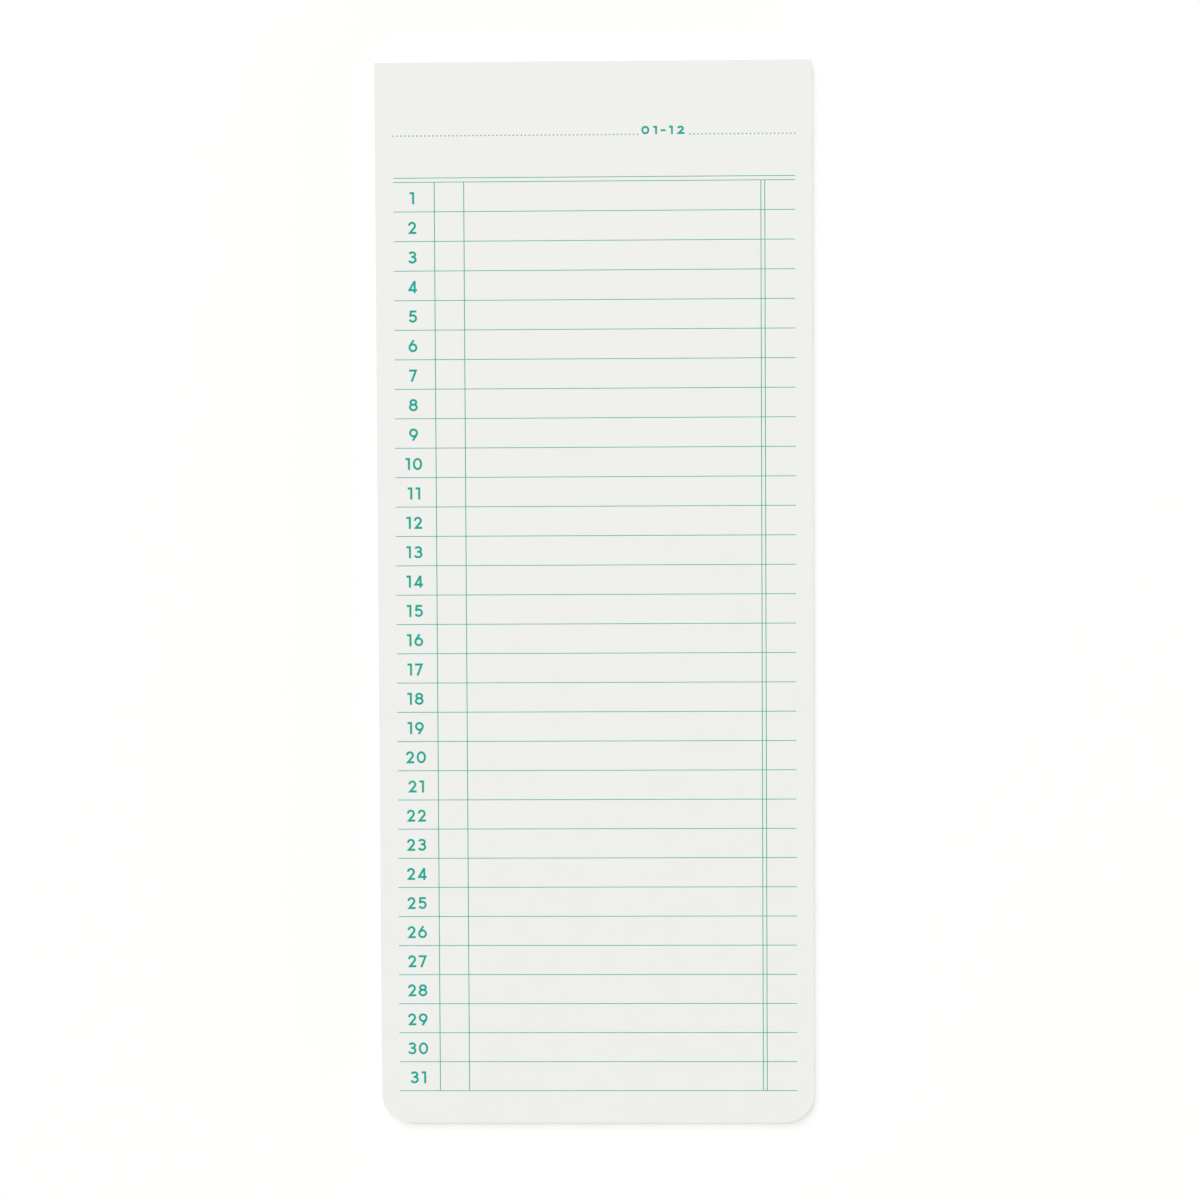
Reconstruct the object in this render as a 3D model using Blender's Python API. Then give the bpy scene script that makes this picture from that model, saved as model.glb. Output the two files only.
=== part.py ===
"""Monthly sticky memo pad.

A stack of tall narrow paper leaves on a backing card. Every leaf has two rounded
bottom corners and carries a strip of low-tack adhesive across its back, along the
top edge, which holds it to the leaf below. A leaf lifts by its free bottom end and
turns about the top edge of its own strip, so each hinge sits on the leaf under it.

Metres, +Z up. The origin is the middle of the card's underside, +Y runs towards the
glued top edge and +X towards the right of the writing.
"""
import bpy

# Driving dimensions: the outline, shared by the leaves and the card
PAD_WIDTH = 0.074
PAD_LENGTH = 0.1807
CORNER_RADIUS = 0.005

# Driving dimensions: the leaves
SHEET_COUNT = 24
SHEET_THICKNESS = 0.00009

# Driving dimensions: the adhesive strips
STRIP_LENGTH = 0.010
STRIP_THICKNESS = 0.00002
STRIP_EDGE_SETBACK = 0.0005

# Driving dimensions: the backing card
CARD_THICKNESS = 0.0004

# Clearances: paper lies on paper, so these only keep the flat faces apart
STRIP_TO_SHEET_CLEARANCE = 0.000005
LEAF_TO_LEAF_CLEARANCE = 0.000005

# Share of the radius at which a cubic curve's handles draw a quarter circle
QUARTER_CIRCLE_HANDLE = 0.5523
CORNER_SEGMENTS = 12

# A leaf is a strip with its sheet on top, measured from its hinge upwards
SHEET_LIFT = STRIP_THICKNESS + STRIP_TO_SHEET_CLEARANCE
LEAF_THICKNESS = SHEET_LIFT + SHEET_THICKNESS
LEAF_PITCH = LEAF_THICKNESS + LEAF_TO_LEAF_CLEARANCE
TOP_EDGE_Y = PAD_LENGTH / 2

# Base colours as sRGB shares, from the photograph, and how matt each surface is
PAPER_COLOUR = (0.941, 0.945, 0.929)
PAPER_ROUGHNESS = 0.85
ADHESIVE_COLOUR = (0.90, 0.90, 0.86)
ADHESIVE_ROUGHNESS = 0.45
CARD_COLOUR = (0.87, 0.86, 0.83)
CARD_ROUGHNESS = 0.9


def clear_scene():
    """Remove every object that is already in the file."""
    for old in list(bpy.data.objects):
        bpy.data.objects.remove(old, do_unlink=True)


def linear(share):
    """Turn one sRGB share into the linear value that a shader takes."""
    if share <= 0.04045:
        return share / 12.92
    return ((share + 0.055) / 1.055) ** 2.4


def make_material(name, colour, roughness):
    """A plain non-metal finish."""
    material = bpy.data.materials.new(name)
    material.use_nodes = True
    shader = material.node_tree.nodes["Principled BSDF"]
    shader.inputs["Base Color"].default_value = [linear(share) for share in colour] + [1.0]
    shader.inputs["Roughness"].default_value = roughness
    shader.inputs["Metallic"].default_value = 0.0
    return material


def outline_points(corners):
    """Points along a right-angled outline: (place, left handle, right handle).

    A corner is (x, y, radius, way in, way out), where the ways are unit steps along
    the outline. A square corner is one point. A round one is two, with handles that
    draw a quarter circle between them. None marks a straight side.
    """
    points = []
    for x, y, radius, (in_x, in_y), (out_x, out_y) in corners:
        if radius == 0:
            points.append(((x, y), None, None))
            continue
        reach = radius * (1 - QUARTER_CIRCLE_HANDLE)
        start = (x - in_x * radius, y - in_y * radius)
        start_handle = (x - in_x * reach, y - in_y * reach)
        end = (x + out_x * radius, y + out_y * radius)
        end_handle = (x + out_x * reach, y + out_y * reach)
        points.append((start, None, start_handle))
        points.append((end, end_handle, None))
    return points


def flat_outline(name, corners, thickness, material):
    """A closed 2D curve, filled on both faces and as thick as the sheet it stands for."""
    outline = bpy.data.curves.new(name, "CURVE")
    outline.dimensions = "2D"
    outline.fill_mode = "BOTH"
    outline.extrude = thickness / 2
    outline.resolution_u = CORNER_SEGMENTS
    outline.materials.append(material)
    points = outline_points(corners)
    spline = outline.splines.new("BEZIER")
    spline.use_cyclic_u = True
    spline.bezier_points.add(len(points) - 1)
    for point, (place, left, right) in zip(spline.bezier_points, points):
        point.co = (*place, 0)
        point.handle_left_type = "VECTOR" if left is None else "FREE"
        point.handle_right_type = "VECTOR" if right is None else "FREE"
        if left is not None:
            point.handle_left = (*left, 0)
        if right is not None:
            point.handle_right = (*right, 0)
    return outline


def rectangle_corners(top_y, bottom_y, bottom_radius):
    """The four corners across the pad's width, anticlockwise from the top left."""
    half = PAD_WIDTH / 2
    down, right, up, left = (0, -1), (1, 0), (0, 1), (-1, 0)
    return [
        (-half, top_y, 0, left, down),
        (-half, bottom_y, bottom_radius, down, right),
        (half, bottom_y, bottom_radius, right, up),
        (half, top_y, 0, up, left),
    ]


def place(name, data, parent, location, collection):
    """Put one object in the collection, at a place in its parent's frame."""
    item = bpy.data.objects.new(name, data)
    item.parent = parent
    item.location = location
    collection.objects.link(item)
    return item


def make_card(collection):
    """The backing card, with its outline hung from the top edge as the leaves' is."""
    material = make_material("backing_card", CARD_COLOUR, CARD_ROUGHNESS)
    corners = rectangle_corners(0, -PAD_LENGTH, CORNER_RADIUS)
    outline = flat_outline("card_outline", corners, CARD_THICKNESS, material)
    place("backing_card", outline, None, (0, TOP_EDGE_Y, CARD_THICKNESS / 2), collection)


def make_leaves(collection):
    """The leaves from the bottom up, each turning on a hinge carried by the one below."""
    paper = make_material("printed_paper", PAPER_COLOUR, PAPER_ROUGHNESS)
    adhesive = make_material("low_tack_adhesive", ADHESIVE_COLOUR, ADHESIVE_ROUGHNESS)
    sheet_corners = rectangle_corners(0, -PAD_LENGTH, CORNER_RADIUS)
    strip_corners = rectangle_corners(-STRIP_EDGE_SETBACK, -STRIP_EDGE_SETBACK - STRIP_LENGTH, 0)
    sheet_outline = flat_outline("sheet_outline", sheet_corners, SHEET_THICKNESS, paper)
    strip_outline = flat_outline("strip_outline", strip_corners, STRIP_THICKNESS, adhesive)

    carrier = None
    hinge_place = (0, TOP_EDGE_Y, CARD_THICKNESS + LEAF_TO_LEAF_CLEARANCE)
    for number in range(SHEET_COUNT, 0, -1):
        hinge = place(f"hinge_{number:02d}", None, carrier, hinge_place, collection)
        strip_place = (0, 0, STRIP_THICKNESS / 2)
        place(f"adhesive_{number:02d}", strip_outline, hinge, strip_place, collection)
        sheet_place = (0, 0, SHEET_LIFT + SHEET_THICKNESS / 2)
        place(f"sheet_{number:02d}", sheet_outline, hinge, sheet_place, collection)
        carrier = hinge
        hinge_place = (0, 0, LEAF_PITCH)


def main():
    clear_scene()
    collection = bpy.data.collections.new("sticky_memo_pad")
    bpy.context.scene.collection.children.link(collection)
    make_card(collection)
    make_leaves(collection)


main()
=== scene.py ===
# %% [markdown]
# A monthly sticky memo pad, seen from straight above.
# The solids of the pad come in finished and in place: paper leaves, the glue strips that hold them
# and a backing card. This lesson dresses them. It prints the page, gives the top leaf a surface that
# can bend like paper, mixes the finishes and sets up the light and the camera.
# Everything is in metres, so a helper turns millimetres, which suit a page, into metres.

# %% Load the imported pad
import math

import bpy
import numpy as np
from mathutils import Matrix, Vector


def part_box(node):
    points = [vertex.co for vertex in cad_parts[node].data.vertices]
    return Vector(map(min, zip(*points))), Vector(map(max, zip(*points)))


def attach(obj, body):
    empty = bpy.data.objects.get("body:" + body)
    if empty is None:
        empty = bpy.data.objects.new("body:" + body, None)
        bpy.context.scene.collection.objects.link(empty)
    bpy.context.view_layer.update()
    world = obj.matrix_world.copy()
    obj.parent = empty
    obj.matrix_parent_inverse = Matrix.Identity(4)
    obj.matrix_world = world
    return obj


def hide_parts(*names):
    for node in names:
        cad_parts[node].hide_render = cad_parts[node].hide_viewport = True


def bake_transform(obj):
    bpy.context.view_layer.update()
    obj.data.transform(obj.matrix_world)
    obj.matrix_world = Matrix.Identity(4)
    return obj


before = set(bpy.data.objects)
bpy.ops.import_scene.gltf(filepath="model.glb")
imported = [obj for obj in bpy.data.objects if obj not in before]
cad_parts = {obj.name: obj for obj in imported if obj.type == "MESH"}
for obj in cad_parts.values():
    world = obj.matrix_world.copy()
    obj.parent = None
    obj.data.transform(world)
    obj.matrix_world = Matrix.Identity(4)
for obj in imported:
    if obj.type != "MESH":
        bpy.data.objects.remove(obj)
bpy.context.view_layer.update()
SHEETS = sorted(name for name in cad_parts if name.startswith("sheet_"))
STRIPS = sorted(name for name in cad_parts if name.startswith("adhesive_"))


# %% [markdown]
# The top leaf is the ruler for the page. Its box gives the width, the length and the height of the
# writing face, so the print keeps its place on the paper even if the pad is built to another size.

# %% Measure the top leaf
def mm(length):
    """Millimetres to metres."""
    return length / 1000


leaf_low, leaf_high = (np.array(corner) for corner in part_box(SHEETS[0]))
strip_low, strip_high = (np.array(corner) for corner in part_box(STRIPS[0]))
TOP_EDGE = leaf_high[1]
BOTTOM_EDGE = leaf_low[1]
print("leaf in mm:", (leaf_high - leaf_low) * 1000)

# %% [markdown]
# The page is a form for one month: a dotted heading line, a double rule, then one row for each day.
# Two narrow columns stand at the left and a close pair of rules at the right.
# Printers set such a form out from the paper's edges, so each place below is a margin or a width.

# %% Set out the page
DAYS = 31
ROW_HEIGHT = mm(5.0)
LEFT_MARGIN = mm(3.1)
RIGHT_MARGIN = mm(2.9)
HEAD_TO_ROWS = mm(20.2)
HEAD_TO_DOTS = mm(12.4)
DOUBLE_RULE_GAP = mm(0.70)
RIGHT_PAIR_GAP = mm(0.66)
DAY_COLUMN = mm(6.95)
TICK_COLUMN = mm(5.0)
RIGHT_COLUMN = mm(5.1)

page_left = leaf_low[0] + LEFT_MARGIN
page_right = leaf_high[0] - RIGHT_MARGIN
rows_top = TOP_EDGE - HEAD_TO_ROWS
rows_bottom = rows_top - DAYS * ROW_HEIGHT
dots_y = TOP_EDGE - HEAD_TO_DOTS
print("rows run from", rows_top, "to", rows_bottom, "with", rows_bottom - BOTTOM_EDGE, "left below")


# %% [markdown]
# Everything printed is a band of ink: a rule is a straight band, a numeral is a band along a pen's
# path and even a dot is a very short band. A texture could draw them too, but it blurs hairlines
# a tenth of a millimetre wide, so each band is a thin closed solid that lies on the paper.
# A band is two edges, left and right, with as many points each. With them go two notes: whether it
# closes on itself, and how many coats of ink it rises from the paper.

# %% Bands along a path
DOT_SIDES = 8


def band_along(path, width, closed=False, rise=1.0):
    """A band of even width along a path of points.

    A step's normal is its direction turned a quarter left. At a point the edges lie half a
    width along the mitre, which is the sum of the normals before and after it, over one plus
    their dot product. At an open end the only normal counts twice.
    """
    steps = np.diff(path, axis=0, append=path[:1])
    normals = np.column_stack([-steps[:, 1], steps[:, 0]])
    normals /= np.linalg.norm(normals, axis=1, keepdims=True)
    before, after = np.roll(normals, 1, axis=0), normals.copy()
    if not closed:
        before[0] = normals[0]
        after[-1] = normals[-2]
    mitre = (before + after) / (1 + np.sum(before * after, axis=1, keepdims=True))
    return path + mitre * width / 2, path - mitre * width / 2, closed, rise


def straight_band(start, end, width, pieces=1, rise=1.0):
    """A rule from start to end, cut into equal pieces so that it can bend with the paper."""
    share = np.linspace(0, 1, pieces + 1)[:, None]
    return band_along(np.array(start) * (1 - share) + np.array(end) * share, width, rise=rise)


def round_band(x, y, diameter):
    """A dot with flat sides: half its corners above the middle, at equal angles, and half below."""
    upper_half = np.arange(DOT_SIDES // 2)
    angle = np.radians(180 - 360 / DOT_SIDES * (upper_half + 0.5))
    across, up = np.cos(angle) * diameter / 2, np.sin(angle) * diameter / 2
    return np.column_stack([x + across, y + up]), np.column_stack([x + across, y - up]), False, 1.0


print("a dot has", sum(len(edge) for edge in round_band(0, 0, 1)[:2]), "corners")


# %% [markdown]
# The rules come first. The column rules are cut every millimetre: when the top leaf curls, a long
# straight bar would dive under the paper, and short pieces follow it. Where two bands cross, one of
# them rises a tenth of a coat higher, because two faces at one height would flicker.

# %% Rule the rows and columns
ROW_RULE_WIDTH = mm(0.112)
COLUMN_RULE_WIDTH = mm(0.136)
BEND_STEP = mm(1)
SECOND_COAT = 1.1


def row_rules():
    """The double rule's upper line, and a line above, between and below the rows."""
    heights = rows_top - ROW_HEIGHT * np.arange(DAYS + 1)
    heights = np.append(heights, rows_top + DOUBLE_RULE_GAP)
    return [straight_band((page_left, y), (page_right, y), ROW_RULE_WIDTH) for y in heights]


def column_rules():
    """Two rules after the day and tick columns, and a close pair before the right column."""
    first = page_left + DAY_COLUMN
    last = page_right - RIGHT_COLUMN
    pieces = round((rows_top - rows_bottom) / BEND_STEP)
    places = (first, first + TICK_COLUMN, last - RIGHT_PAIR_GAP, last)
    top, bottom = rows_top + ROW_RULE_WIDTH / 2, rows_bottom - ROW_RULE_WIDTH / 2
    return [straight_band((x, top), (x, bottom), COLUMN_RULE_WIDTH, pieces, SECOND_COAT) for x in places]


rules = row_rules() + column_rules()
print(len(rules), "rules")

# %% [markdown]
# The dotted line runs from margin to margin and breaks off where the label stands on it. It could be
# one bar with gaps, but the dots are round, so each is a bar of its own. Eight sides look round at
# a quarter of a millimetre.

# %% Dot the heading line
DOT_DIAMETER = mm(0.25)
DOT_PITCH = mm(0.68)
LABEL_RIGHT_OF_MIDDLE = mm(7.9)
LABEL_WIDTH = mm(7.6)
LABEL_CLEARANCE = mm(0.3)

middle = (page_left + page_right) / 2
label_left = middle + LABEL_RIGHT_OF_MIDDLE
label_right = label_left + LABEL_WIDTH
dot_count = round((page_right - page_left) / DOT_PITCH)
dot_x = np.linspace(page_left, page_right, dot_count + 1)
shown = (dot_x < label_left - LABEL_CLEARANCE) | (dot_x > label_right + LABEL_CLEARANCE)
dots = [round_band(x, dots_y, DOT_DIAMETER) for x in dot_x[shown]]
print(len(dots), "dots")


# %% [markdown]
# The day numbers are a plain geometric set: circles, ovals and straight strokes of one thickness.
# A font file would be quicker, but the frame is all this script may read, and a pen path is short:
# a few points and arcs for each numeral, in a box one unit high.

# %% Draw the numerals
ARC_STEP = 12
WAIST = 0.54
ROUND_RADIUS = 0.365
ZERO_RADIUS = 0.385
TWO_RADIUS = 0.33
ONE_WIDTH = 0.38
FOUR_WIDTH = 0.75
FOUR_STEM = 0.55
FOUR_BAR = 0.245
DASH_WIDTH = 0.42
DASH_HEIGHT = 0.46
DAY_HEIGHT = mm(2.07)
DAY_STROKE = mm(0.36)


def arc(x, y, radius_x, radius_y, start, stop):
    """Points along an oval, from a start angle to a stop angle in degrees, anticlockwise from its right."""
    angle = np.radians(np.linspace(start, stop, max(2, round(abs(stop - start) / ARC_STEP) + 1)))
    return np.column_stack([x + radius_x * np.cos(angle), y + radius_y * np.sin(angle)])


def ring(x, y, radius_x, radius_y):
    """A whole oval as a closed path."""
    return arc(x, y, radius_x, radius_y, 0, 360)[:-1], True


def pen(*runs):
    """One open path through points and arcs in turn."""
    return np.vstack([np.atleast_2d(run) for run in runs]), False


def numeral_paths(stroke):
    """Width and pen paths of each numeral, one unit high, for a stroke of the given thickness.

    The paths run half a stroke inside the outline, so that the ink fills the box exactly.
    """
    half = stroke / 2
    top, base = 1 - half, half
    upper_y, upper = (top + WAIST) / 2, (top - WAIST) / 2
    lower_y, lower = (WAIST + base) / 2, (WAIST - base) / 2
    bowl, turn = ROUND_RADIUS - half, TWO_RADIUS - half
    six = [ring(ROUND_RADIUS, ROUND_RADIUS, bowl, bowl), pen((0.12, 0.524), (0.43, 1.0))]
    nine = [((2 * ROUND_RADIUS, 1.0) - points, closed) for points, closed in six]
    return {
        "0": (2 * ZERO_RADIUS, [ring(ZERO_RADIUS, 0.5, ZERO_RADIUS - half, top - 0.5)]),
        "1": (ONE_WIDTH, [pen((0, top), (ONE_WIDTH - half, top), (ONE_WIDTH - half, 0))]),
        "2": (0.69, [pen(arc(0.34, top - turn, turn, turn, 180, -40), (0.174, base), (0.69, base))]),
        "3": (0.71, [
            pen(arc(0.35, upper_y, 0.24, upper, 160, -90), (0.27, WAIST)),
            pen((0.27, WAIST), arc(0.35, lower_y, 0.36 - half, lower, 90, -162)),
        ]),
        "4": (FOUR_WIDTH, [
            pen((FOUR_WIDTH, FOUR_BAR), (0.125, FOUR_BAR), (0.541, 0.965)),
            pen((FOUR_STEM, 1), (FOUR_STEM, 0)),
        ]),
        "5": (0.71, [
            pen((0.65, top), (0.20, top), (0.143, 0.49)),
            pen(arc(0.355, 0.35, 0.355 - half, 0.35 - half, 143, -158)),
        ]),
        "6": (2 * ROUND_RADIUS, six),
        "7": (0.67, [pen((0, top), (0.563, top), (0.21, 0))]),
        "8": (2 * ROUND_RADIUS, [
            ring(ROUND_RADIUS, upper_y, 0.235, upper),
            ring(ROUND_RADIUS, lower_y, bowl, lower),
        ]),
        "9": (2 * ROUND_RADIUS, nine),
        "-": (DASH_WIDTH, [pen((0, DASH_HEIGHT), (DASH_WIDTH, DASH_HEIGHT))]),
    }


print("pen paths for", *numeral_paths(DAY_STROKE / DAY_HEIGHT))


# %% [markdown]
# A line of numerals is set as type is: each has its own width, with a little air on both sides, and a
# one gets more air than the rest. The whole line is centred on its place.

# %% Set lines of numerals
SIDE_AIR = 0.10
ONE_AIR = 0.135
DAY_ABOVE_RULE = mm(1.28)
DAY_LEFT_OF_CENTRE = mm(0.33)
LABEL_HEIGHT = mm(1.42)
LABEL_STROKE = mm(0.33)
LABEL_TEXT = "01-12"
LABEL_SPREAD = 0.17
LABEL_STRETCH = 1.35


def set_numerals(text, centre, baseline, height, stroke, spread=0, stretch=1):
    """Bands of a line of numerals with its ink centred.

    Spread is extra air between neighbours, and stretch makes every numeral wider but its strokes no
    thicker.
    """
    paths = numeral_paths(stroke / height)
    air = np.array([ONE_AIR if sign == "1" else SIDE_AIR for sign in text])
    widths = np.array([paths[sign][0] for sign in text]) * stretch
    lefts = np.concatenate([[0], np.cumsum(widths[:-1] + air[:-1] + air[1:] + spread)])
    start = centre - height * (lefts[-1] + widths[-1]) / 2
    bands = []
    for sign, left in zip(text, lefts):
        for coat, (points, closed) in zip((1.0, SECOND_COAT), paths[sign][1]):
            place = np.array([start, baseline]) + height * (points * [stretch, 1] + [left, 0])
            bands.append(band_along(place, stroke, closed, coat))
    return bands


day_x = page_left + DAY_COLUMN / 2 - DAY_LEFT_OF_CENTRE
day_numbers = []
for day in range(1, DAYS + 1):
    baseline = rows_top - day * ROW_HEIGHT + DAY_ABOVE_RULE
    day_numbers += set_numerals(str(day), day_x, baseline, DAY_HEIGHT, DAY_STROKE)
label_x = (label_left + label_right) / 2
label = set_numerals(
    LABEL_TEXT, label_x, dots_y, LABEL_HEIGHT, LABEL_STROKE, LABEL_SPREAD, LABEL_STRETCH
)
print(len(day_numbers), "strokes for the days and", len(label), "for the label")


# %% [markdown]
# Now the flat bands get their thickness. Each becomes a closed bar: an upper face, a lower face, a
# wall along each edge and, unless it closes on itself, a cap at both ends. All bars of a page are
# one mesh, because the ink of a page is one thing.

# %% Thicken the ink
INK_THICKNESS = mm(0.01)


def thicken(bands):
    """Corner points (x, y, coats) and faces of all bands as closed bars.

    A band of n pairs has four rows of n points: left and right on the paper, at 0 coats, then left
    and right as many coats above it as the band rises.
    """
    points, faces, first = [], [], 0
    for left, right, closed, rise in bands:
        n = len(left)
        flat = np.vstack([left, right, left, right])
        points.append(np.column_stack([flat, np.repeat([0, 0, rise, rise], n)]))
        here = np.arange(n if closed else n - 1)
        after = (here + 1) % n
        rows = [(0, n), (3 * n, 2 * n), (2 * n, 0), (n, 3 * n)]
        walls = [np.column_stack([a + here, a + after, b + after, b + here]) for a, b in rows]
        caps = [[0, n, 3 * n, 2 * n], [2 * n - 1, n - 1, 3 * n - 1, 4 * n - 1]]
        faces.append(first + np.vstack(walls + ([] if closed else [caps])))
        first += 4 * n
    return np.vstack(points), np.vstack(faces)


def new_piece(name, points, faces):
    """A mesh object at the origin, with its place in its points."""
    mesh = bpy.data.meshes.new(name)
    mesh.from_pydata(points.tolist(), [], faces.tolist())
    mesh.validate()
    piece = bpy.data.objects.new(name, mesh)
    bpy.context.scene.collection.objects.link(piece)
    return piece


def print_page(name, sheet):
    """The whole print on top of one sheet, where a coat is as high as the ink is thick."""
    points = page_points.copy()
    points[:, 2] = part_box(sheet)[1][2] + page_points[:, 2] * INK_THICKNESS
    return new_piece(name, points, page_faces)


page_points, page_faces = thicken(rules + dots + day_numbers + label)
prints = [print_page(sheet.replace("sheet", "print"), sheet) for sheet in SHEETS]
print(len(prints), "printed pages of", len(page_faces), "faces each")


# %% [markdown]
# The top leaf is the one that gets lifted, and paper that is lifted bends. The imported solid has
# points only around its outline, so it can't. This surface has rows of points all the way down and
# takes the solid's place. Its sides are straight to the corners and then follow a quarter circle.

# %% Grow the top leaf on a grid
CORNER_RADIUS = mm(5.0)
CORNER_ROWS = 12
ACROSS = 20


def leaf_grid(low, high, radius):
    """Rows of points (x, y) from the top edge down, for a page with two round bottom corners.

    Across the page x is a share from -1 to 1 of the half width. At an angle f into the corner the
    row is radius * (1 - sin f) above the bottom edge, and the half width is less by
    radius * (1 - cos f).
    """
    straight = high[1] - low[1] - radius
    down = np.linspace(high[1], low[1] + radius, math.ceil(straight / BEND_STEP) + 1)
    half = np.full(len(down), (high[0] - low[0]) / 2)
    if radius:
        angle = np.linspace(0, math.pi / 2, CORNER_ROWS + 1)[1:]
        down = np.append(down, low[1] + radius * (1 - np.sin(angle)))
        half = np.append(half, half[0] - radius * (1 - np.cos(angle)))
    share = np.linspace(-1, 1, ACROSS + 1)
    middle_x = (low[0] + high[0]) / 2
    return np.stack([middle_x + half[:, None] * share, np.repeat(down[:, None], ACROSS + 1, 1)], axis=2)


def thin_leaf(name, low, high, radius=0.0):
    """A closed leaf: the grid at the upper height, again at the lower one, and a rim between them."""
    grid = leaf_grid(low, high, radius)
    rows, columns = grid.shape[:2]
    flat = grid.reshape(-1, 2)
    count = len(flat)
    upper = np.column_stack([flat, np.full(count, high[2])])
    lower = np.column_stack([flat, np.full(count, low[2])])
    index = np.arange(count).reshape(rows, columns)
    corners = [index[:-1, :-1], index[1:, :-1], index[1:, 1:], index[:-1, 1:]]
    face = np.column_stack([corner.ravel() for corner in corners])
    rim = np.concatenate([index[:-1, 0], index[-1, :-1], index[:0:-1, -1], index[0, :0:-1]])
    after = np.roll(rim, -1)
    wall = np.column_stack([rim + count, after + count, after, rim])
    return new_piece(name, np.vstack([upper, lower]), np.vstack([face, face[:, ::-1] + count, wall]))


top_leaf = thin_leaf("top_leaf", leaf_low, leaf_high, CORNER_RADIUS)
top_strip = thin_leaf("top_strip", strip_low, strip_high)
print("top leaf has", len(top_leaf.data.polygons), "faces, its strip", len(top_strip.data.polygons))


# %% [markdown]
# Finishes. Paper looks plain, yet no two square millimetres are alike: the pulp lies in faint clouds
# and its fibres roughen the surface. A picture of a sheet could show that, but this script reads no
# pictures. Each finish below is a shader fed by noise in the piece's own coordinates, in metres, so a
# scale of 1000 gives grains about a millimetre across. First come the helpers that they share.

# %% Helpers for finishes
NOISE_LOW = 0.3
NOISE_HIGH = 0.7


def start_finish(name):
    """A new material with its node tree and its main shader."""
    finish = bpy.data.materials.new(name)
    finish.use_nodes = True
    tree = finish.node_tree
    return finish, tree, tree.nodes["Principled BSDF"]


def own_place(tree):
    """Where a point lies in the piece's own coordinates."""
    return tree.nodes.new("ShaderNodeTexCoord").outputs["Object"]


def numbers_of(tree, vector):
    """The X, Y and Z of a place or a direction."""
    split = tree.nodes.new("ShaderNodeSeparateXYZ")
    tree.links.new(vector, split.inputs[0])
    return split.outputs


def grain(tree, scale, detail=2.0, stretch=(1, 1, 1)):
    """Noise from 0 to 1 on the piece's own coordinates, with a given number of grains per metre."""
    turn = tree.nodes.new("ShaderNodeMapping")
    noise = tree.nodes.new("ShaderNodeTexNoise")
    turn.inputs["Scale"].default_value = stretch
    noise.inputs["Scale"].default_value = scale
    noise.inputs["Detail"].default_value = detail
    tree.links.new(own_place(tree), turn.inputs["Vector"])
    tree.links.new(turn.outputs["Vector"], noise.inputs["Vector"])
    return noise.outputs["Fac"]


def step(tree, operation, *values):
    """One sum on numbers or other nodes' results."""
    node = tree.nodes.new("ShaderNodeMath")
    node.operation = operation
    for socket, value in zip(node.inputs, values):
        if isinstance(value, bpy.types.NodeSocket):
            tree.links.new(value, socket)
        else:
            socket.default_value = value
    return node.outputs[0]


def evenly(tree, value, start, stop, low, high):
    """A number that goes evenly from low to high while a value goes from start to stop."""
    scale = tree.nodes.new("ShaderNodeMapRange")
    for name, number in zip(("From Min", "From Max", "To Min", "To Max"), (start, stop, low, high)):
        scale.inputs[name].default_value = number
    tree.links.new(value, scale.inputs["Value"])
    return scale.outputs["Result"]


def between(tree, noise, low, high):
    """Stretch the middle of a noise, where most of it lies, over a range of numbers."""
    return evenly(tree, noise, NOISE_LOW, NOISE_HIGH, low, high)


def blended(tree, share, first, second):
    """Two colours, plain or from another blend, mixed by a share."""
    mix = tree.nodes.new("ShaderNodeMix")
    mix.data_type = "RGBA"
    tree.links.new(share, mix.inputs["Factor"])
    for socket, colour in ((mix.inputs[6], first), (mix.inputs[7], second)):
        if isinstance(colour, bpy.types.NodeSocket):
            tree.links.new(colour, socket)
        else:
            socket.default_value = (*colour, 1)
    return mix.outputs[2]


def dress(tree, shader, colour, noise, roughness, depth, strength):
    """Give a shader its colour, and let one noise set its roughness and raise it by a depth in metres."""
    bump = tree.nodes.new("ShaderNodeBump")
    bump.inputs["Distance"].default_value = depth
    bump.inputs["Strength"].default_value = strength
    tree.links.new(noise, bump.inputs["Height"])
    tree.links.new(colour, shader.inputs["Base Color"])
    tree.links.new(between(tree, noise, *roughness), shader.inputs["Roughness"])
    tree.links.new(bump.outputs["Normal"], shader.inputs["Normal"])


print("the middle of a noise runs from", NOISE_LOW, "to", NOISE_HIGH)


# %% [markdown]
# The paper is a cool off-white, never pure white. Colours are linear shares of light. On the cut
# edges of the stack some leaves are painted a little darker, as painted shade for the fine lines
# between the leaves, and that shows them apart. A strip of its own on every edge would do it too,
# but one formula finds the cut edge of all leaves at once.

# %% Mix the paper
CLOUD_GRAINS = 220
PULP_DARK = (0.866, 0.875, 0.842)
PULP_LIGHT = (0.877, 0.885, 0.853)
FIBRE_GRAINS = 5200
FIBRE_STRETCH = (1, 0.35, 1)
FIBRE_COLOUR = (0.852, 0.860, 0.828)
FIBRE_SHARE = 0.35
CUT_DEPTH = mm(0.05)
# painted shade on the cut edges, for the fine lines between the leaves
CUT_EDGE_SHADE = (0.68, 0.68, 0.64)
CUT_GRAINS = (300, 300, 5500)


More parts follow.
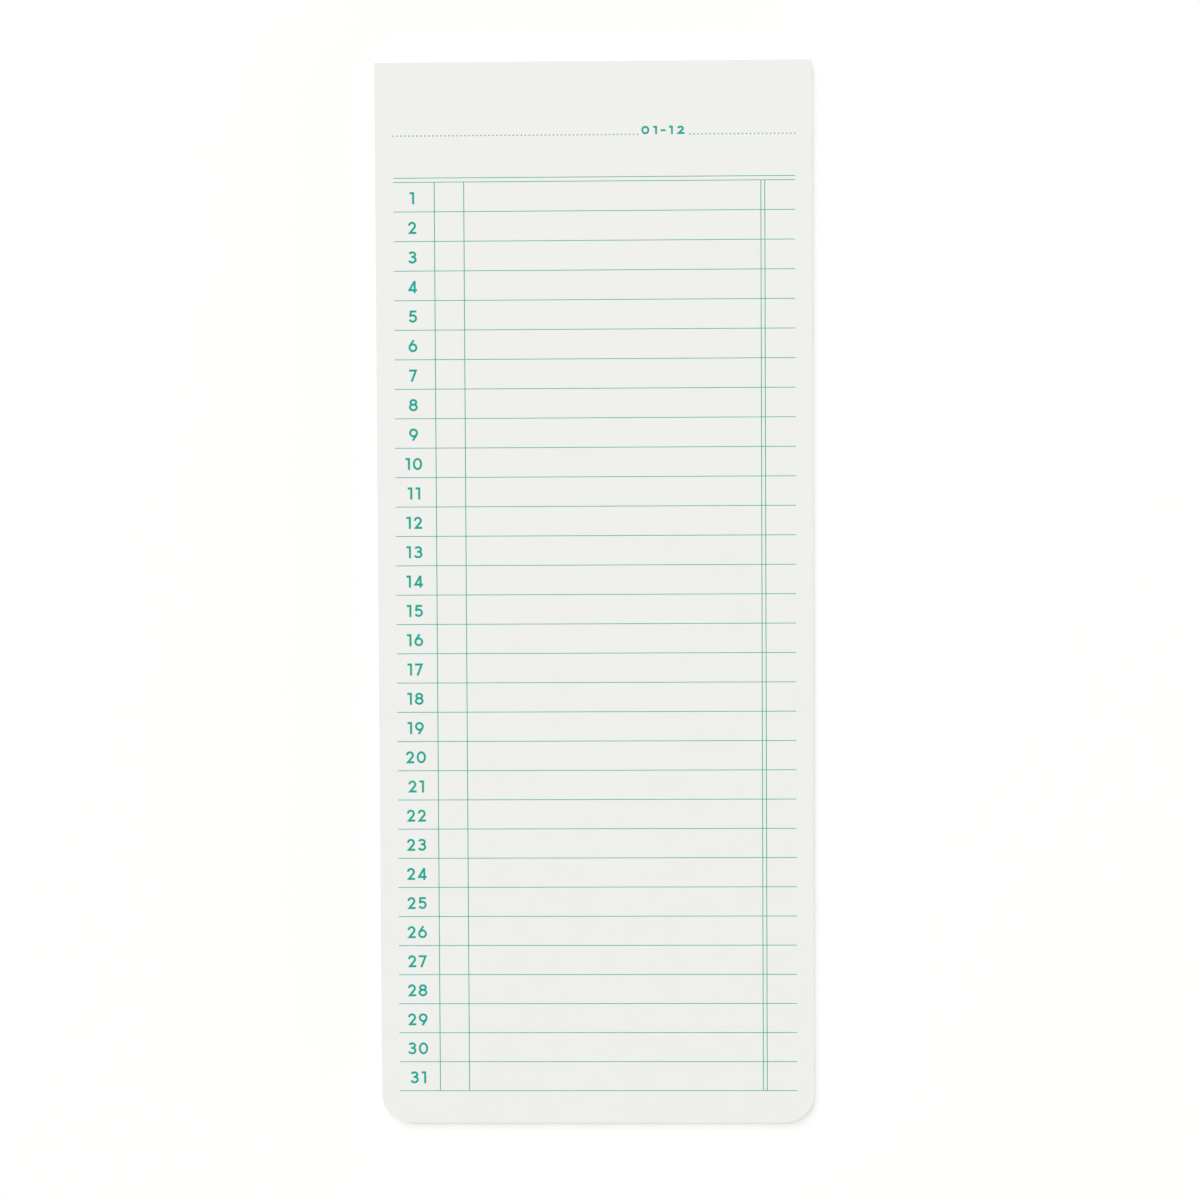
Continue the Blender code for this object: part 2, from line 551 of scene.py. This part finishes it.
def trimmed_edge(tree):
    """1 within the depth of a cut from the page's outline, 0 on its faces.

    With r the corner radius, let u be |x| - (half width - r) and v be -y - (half length - r), both
    at least 0. The root of u * u + v * v, less r, is how far a point lies outside the sides, the foot
    and the round corners. Outside the top edge it is y - half length.
    """
    place = numbers_of(tree, own_place(tree))
    side = step(tree, "SUBTRACT", step(tree, "ABSOLUTE", place["X"]), leaf_high[0] - CORNER_RADIUS)
    foot = step(tree, "SUBTRACT", BOTTOM_EDGE + CORNER_RADIUS, place["Y"])
    across = step(tree, "POWER", step(tree, "MAXIMUM", side, 0.0), 2.0)
    along = step(tree, "POWER", step(tree, "MAXIMUM", foot, 0.0), 2.0)
    round_part = step(tree, "SUBTRACT", step(tree, "SQRT", step(tree, "ADD", across, along)), CORNER_RADIUS)
    top_part = step(tree, "SUBTRACT", place["Y"], TOP_EDGE)
    return step(tree, "GREATER_THAN", step(tree, "MAXIMUM", round_part, top_part), -CUT_DEPTH)


def writing_paper(name, trimmed):
    """Uncoated paper: faint clouds of pulp, fine fibres that run with the sheet, a matt surface.

    On trimmed paper the cut edges get painted shade, darker on some leaves, for the lines between them.
    """
    finish, tree, shader = start_finish(name)
    clouds = between(tree, grain(tree, CLOUD_GRAINS), 0, 1)
    fibres = grain(tree, FIBRE_GRAINS, detail=3, stretch=FIBRE_STRETCH)
    pulp = blended(tree, clouds, PULP_DARK, PULP_LIGHT)
    colour = blended(tree, between(tree, fibres, 0, FIBRE_SHARE), pulp, FIBRE_COLOUR)
    if trimmed:
        shaded_layers = between(tree, grain(tree, 1, stretch=CUT_GRAINS), 0, 1)
        # painted shade: some leaves darker on the cut edges
        colour = blended(tree, step(tree, "MULTIPLY", shaded_layers, trimmed_edge(tree)), colour, CUT_EDGE_SHADE)
    dress(tree, shader, colour, fibres, roughness=(0.80, 0.92), depth=mm(0.01), strength=0.25)
    return finish


loose_paper = writing_paper("loose_paper", trimmed=False)
stacked_paper = writing_paper("stacked_paper", trimmed=True)
print("paper:", loose_paper.name, "and", stacked_paper.name)


# %% [markdown]
# The ink is a blue green from an offset press. Its film is so thin that the paper's fibres come
# through in places. One flat colour would look like plastic, so a fine noise moves it between two
# shades.

# %% Mix the ink
INK_GRAINS = 9000
INK_DARK = (0.0, 0.37, 0.272)
INK_LIGHT = (0.002, 0.405, 0.308)
INK_GLOSS = 0.15


def green_ink():
    """Offset ink: a thin film that lets the paper's fibres through in places."""
    finish, tree, shader = start_finish("green_ink")
    film = grain(tree, INK_GRAINS, detail=3)
    colour = blended(tree, between(tree, film, 0, 1), INK_DARK, INK_LIGHT)
    dress(tree, shader, colour, film, roughness=(0.60, 0.78), depth=mm(0.004), strength=0.2)
    shader.inputs["Specular IOR Level"].default_value = INK_GLOSS
    return finish


page_ink = green_ink()
print("ink:", page_ink.name)


# %% [markdown]
# The glue is low-tack: tiny soft beads that let go again, spread across the pad in long smears. It
# could be a clear film, but over paper that shows little more than the paper's colour, so a solid
# coat in a yellower shade does as well. Seen from the pad's sides, where it is cut, it is painted
# darker, as painted shade that stands for the dark gaps between the leaves.

# %% Mix the glue
BEAD_GRAINS = 7000
SMEAR_GRAINS = 300
SMEAR_STRETCH = (0.2, 1, 1)
GLUE_DARK = (0.74, 0.735, 0.665)
GLUE_LIGHT = (0.77, 0.765, 0.70)
# painted shade on the glue's cut edge, for the dark gaps between the leaves
GLUE_CUT_SHADE = (0.36, 0.36, 0.34)


def low_tack_glue():
    """A coat of soft beads, a little yellower and shinier than the sheet, with painted shade where it is
    cut.
    """
    finish, tree, shader = start_finish("low_tack_glue")
    beads = grain(tree, BEAD_GRAINS, detail=1)
    smears = grain(tree, SMEAR_GRAINS, stretch=SMEAR_STRETCH)
    coat = blended(tree, between(tree, smears, 0, 1), GLUE_DARK, GLUE_LIGHT)
    across = step(tree, "ABSOLUTE", numbers_of(tree, own_place(tree))["X"])
    cut = step(tree, "GREATER_THAN", across, leaf_high[0] - CUT_DEPTH)
    # painted shade where the glue is cut
    colour = blended(tree, cut, coat, GLUE_CUT_SHADE)
    dress(tree, shader, colour, beads, roughness=(0.30, 0.55), depth=mm(0.02), strength=0.3)
    return finish


strip_glue = low_tack_glue()
print("glue:", strip_glue.name)


# %% [markdown]
# The card under the last leaf is stiff board from mixed pulp, greyer than the paper, with a coarser
# fibre and darker flecks. The flecks could be pieces of their own, but a noise of which only the
# highest part comes above zero scatters them as well.

# %% Mix the board
BOARD_GRAINS = 2600
BOARD_STRETCH = (1, 0.5, 1)
BOARD_DARK = (0.66, 0.65, 0.60)
BOARD_LIGHT = (0.74, 0.73, 0.69)
FLECK_GRAINS = 1400
FLECK_COLOUR = (0.45, 0.42, 0.37)
FLECKS_FROM = -2.0
FLECKS_TO = 0.35


def backing_board():
    """Stiff uncoated board from mixed pulp, with darker flecks and a coarser fibre."""
    finish, tree, shader = start_finish("backing_board")
    fibres = grain(tree, BOARD_GRAINS, detail=4, stretch=BOARD_STRETCH)
    flecks = between(tree, grain(tree, FLECK_GRAINS, detail=0), FLECKS_FROM, FLECKS_TO)
    pulp = blended(tree, between(tree, fibres, 0, 1), BOARD_DARK, BOARD_LIGHT)
    colour = blended(tree, flecks, pulp, FLECK_COLOUR)
    dress(tree, shader, colour, fibres, roughness=(0.82, 0.95), depth=mm(0.02), strength=0.4)
    return finish


card_board = backing_board()
print("board:", card_board.name)


# %% [markdown]
# Each finish goes on the pieces that are made of it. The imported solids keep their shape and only
# change material.

# %% Put the finishes on
def put_on(finish, pieces):
    """Make one finish the only material of each piece."""
    for piece in pieces:
        piece.data.materials.clear()
        piece.data.materials.append(finish)


put_on(loose_paper, [top_leaf])
put_on(stacked_paper, [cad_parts[name] for name in SHEETS])
put_on(strip_glue, [top_strip] + [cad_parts[name] for name in STRIPS])
put_on(card_board, [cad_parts["backing_card"]])
put_on(page_ink, prints)
print("finishes:", sorted(finish.name for finish in bpy.data.materials if finish.users))

# %% [markdown]
# The lower prints ride on their own leaves. The top leaf, its strip and its print get their place
# baked into their points, and the imported top leaf and its strip are hidden.

for piece in (top_leaf, top_strip, prints[0]):
    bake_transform(piece)
for sheet, page in list(zip(SHEETS, prints))[1:]:
    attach(page, sheet.replace("sheet", "leaf"))
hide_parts(SHEETS[0])
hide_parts(STRIPS[0])


# %% [markdown]
# The pad lies on a white sheet in a bright studio. A real one is lit until the sheet burns out, which
# would bleach the paper too. Here the floor takes ordinary light, and the camera sees it mixed with
# a glow brighter than white, so it is white with a soft shadow left in it. Further out the glow is
# all there is. The shadow in the photograph is a little warm, so the glow is warm, and the matt part
# that the pad shades is cool. What the floor throws back at the pad stays neutral.

# %% Lay the floor
FLOOR_HALF_SIZE = 6.0
FLOOR_DROP = mm(0.02)
SHADOW_KEPT = 0.67
SHADOW_NEAR = 0.25
SHADOW_FAR = 0.80
THROWN_BACK = (0.95, 0.95, 0.95)
MATT_COLOUR = (0.81, 0.905, 1.0)
GLOW_COLOUR = (1.0, 0.869, 0.706)
GLOW_STRENGTH = 1.441


def seen_directly(tree):
    """1 for rays from the camera, a mirror or a glass, 0 for the rays that carry light about."""
    path = tree.nodes.new("ShaderNodeLightPath").outputs
    either = step(tree, "MAXIMUM", path["Is Camera Ray"], path["Is Glossy Ray"])
    return step(tree, "MAXIMUM", either, path["Is Transmission Ray"])


def mix_to_output(tree, share, first, second, output):
    """Mix two shaders by a share and make the mix what the tree puts out."""
    mix = tree.nodes.new("ShaderNodeMixShader")
    tree.links.new(share, mix.inputs["Fac"])
    tree.links.new(first.outputs[0], mix.inputs[1])
    tree.links.new(second.outputs[0], mix.inputs[2])
    tree.links.new(mix.outputs[0], tree.nodes[output].inputs["Surface"])


def white_floor():
    """Matt white for light, and for the camera a mix with the glow.

    The glow's share is one less the shadow that is kept, up to the near distance from the pad's
    middle, and goes up evenly to one at the far distance.
    """
    finish, tree, shader = start_finish("white_floor")
    tree.nodes.remove(shader)
    seen = seen_directly(tree)
    matt = tree.nodes.new("ShaderNodeBsdfDiffuse")
    tree.links.new(blended(tree, seen, THROWN_BACK, MATT_COLOUR), matt.inputs["Color"])
    glow = tree.nodes.new("ShaderNodeEmission")
    glow.inputs["Color"].default_value = (*GLOW_COLOUR, 1)
    glow.inputs["Strength"].default_value = GLOW_STRENGTH
    distance = tree.nodes.new("ShaderNodeVectorMath")
    distance.operation = "LENGTH"
    tree.links.new(own_place(tree), distance.inputs[0])
    share = evenly(tree, distance.outputs["Value"], SHADOW_NEAR, SHADOW_FAR, 1 - SHADOW_KEPT, 1)
    mix_to_output(tree, step(tree, "MULTIPLY", share, seen), matt, glow, "Material Output")
    return finish


corners = np.array([[-1, -1], [1, -1], [1, 1], [-1, 1]]) * FLOOR_HALF_SIZE
floor_points = np.column_stack([corners, np.full(len(corners), -FLOOR_DROP)])
floor = new_piece("floor", floor_points, np.array([[0, 1, 2, 3]]))
put_on(white_floor(), [floor])
print("floor at", -FLOOR_DROP)

# %% [markdown]
# A wide lamp stands high at the upper left, as the photograph's narrow shadows at the right and the
# bottom show. It is so wide that its shadow is soft all through, yet the photograph has a thin crisp
# line next to the paper. A small lamp in front of it draws that line. The room adds a little light
# from all round. A low reflector at the lower right throws light back at the sides of the stack that
# the lamps don't reach, so they are as pale as paper is. Together they light a level surface to about
# one, so that a colour comes out as it is written.

# %% Light the studio
WIDE_LAMP_PLACE = (-2.5, 4.8, 12.0)
WIDE_LAMP_SIZE = 10.5
WIDE_LAMP_SHARE = 0.71
SMALL_LAMP_PLACE = (-1.45, 3.6, 12.0)
SMALL_LAMP_SIZE = 0.7
SMALL_LAMP_SHARE = 0.167
ROOM_LIGHT = 0.155
REFLECTOR_LIGHT = 6.0
REFLECTOR_WAY = (math.sqrt(0.5), -math.sqrt(0.5), 0)
REFLECTOR_TOP = 0.35


def aim(item, target):
    """Turn a lamp so that it shines along the line from its place to a target.

    It shines straight down unturned. It tips by the angle whose tangent is the way's level length
    over its drop, and then swings to the way's own direction on the floor.
    """
    way = np.array(target) - np.array(item.location)
    level = math.hypot(way[0], way[1])
    item.rotation_euler = (math.atan2(level, -way[2]), 0, math.atan2(way[1], way[0]) - math.pi / 2)


def studio_lamp(name, place, size, share):
    """A square lamp whose power gives its share of the light at the pad.

    Seen from the pad, a lamp of power P at a distance d gives P * cos / (pi * pi * d * d), where
    cos is the height over the distance. A wide lamp gives a little less, as its rim is further off.
    """
    lamp = bpy.data.lights.new(name, "AREA")
    lamp.size = size
    distance = math.dist(place, (0, 0, 0))
    lamp.energy = share * math.pi**2 * distance**2 / (place[2] / distance)
    item = bpy.data.objects.new(name, lamp)
    item.location = place
    aim(item, (0, 0, 0))
    bpy.context.scene.collection.objects.link(item)
    return lamp.energy


def studio_room():
    """Light from all round and from the reflector, and plain white where it is seen directly.

    With z the height of a direction, 0 level and 1 overhead, the reflector's light falls evenly from
    all of it at 0 to none at its top. It is also multiplied by the direction's cosine to the middle
    of the reflector, where that is above 0. The room's light is added to it.
    """
    room = bpy.data.worlds.new("studio_room")
    room.use_nodes = True
    tree = room.node_tree
    way = tree.nodes.new("ShaderNodeTexCoord").outputs["Generated"]
    facing = tree.nodes.new("ShaderNodeVectorMath")
    facing.operation = "DOT_PRODUCT"
    facing.inputs[1].default_value = REFLECTOR_WAY
    tree.links.new(way, facing.inputs[0])
    cosine = step(tree, "MAXIMUM", facing.outputs["Value"], 0.0)
    fall = evenly(tree, numbers_of(tree, way)["Z"], 0, REFLECTOR_TOP, REFLECTOR_LIGHT, 0)
    light = tree.nodes["Background"]
    strength = step(tree, "ADD", step(tree, "MULTIPLY", fall, cosine), ROOM_LIGHT)
    tree.links.new(strength, light.inputs["Strength"])
    white = tree.nodes.new("ShaderNodeBackground")
    for background in (light, white):
        background.inputs["Color"].default_value = (1, 1, 1, 1)
    mix_to_output(tree, seen_directly(tree), light, white, "World Output")
    bpy.context.scene.world = room


wide_power = studio_lamp("wide_lamp", WIDE_LAMP_PLACE, WIDE_LAMP_SIZE, WIDE_LAMP_SHARE)
small_power = studio_lamp("small_lamp", SMALL_LAMP_PLACE, SMALL_LAMP_SIZE, SMALL_LAMP_SHARE)
studio_room()
print("lamp powers", wide_power, small_power)

# %% [markdown]
# The camera hangs half a metre over the pad, a little off its middle and a touch askew. Its place
# was found from the ruled lines: rows five millimetres apart that come out 29.9 pixels high at the
# top of the picture and 29.0 at the bottom fix the tilt.

# %% Hang the camera
IMAGE_WIDTH = 1200
FOCAL_PIXELS = 3000
SENSOR_WIDTH = 36.0
CAMERA_FROM_LEAF = (mm(12.77), mm(18.46), mm(509.8))
CAMERA_TILT_DEGREES = (-2.179, 1.334, -0.281)
NEAREST_SEEN = mm(10)

lens = bpy.data.cameras.new("photo_camera")
lens.sensor_fit = "HORIZONTAL"
lens.sensor_width = SENSOR_WIDTH
lens.lens = FOCAL_PIXELS / IMAGE_WIDTH * SENSOR_WIDTH
lens.clip_start = NEAREST_SEEN
camera = bpy.data.objects.new("photo_camera", lens)
leaf_middle = (leaf_low + leaf_high) / 2
camera.location = (leaf_middle[0], leaf_middle[1], leaf_high[2]) + np.array(CAMERA_FROM_LEAF)
camera.rotation_euler = [math.radians(angle) for angle in CAMERA_TILT_DEGREES]
bpy.context.scene.collection.objects.link(camera)
bpy.context.scene.camera = camera
bpy.context.scene.view_settings.view_transform = "Standard"
print("lens of", lens.lens, "mm at", tuple(camera.location))
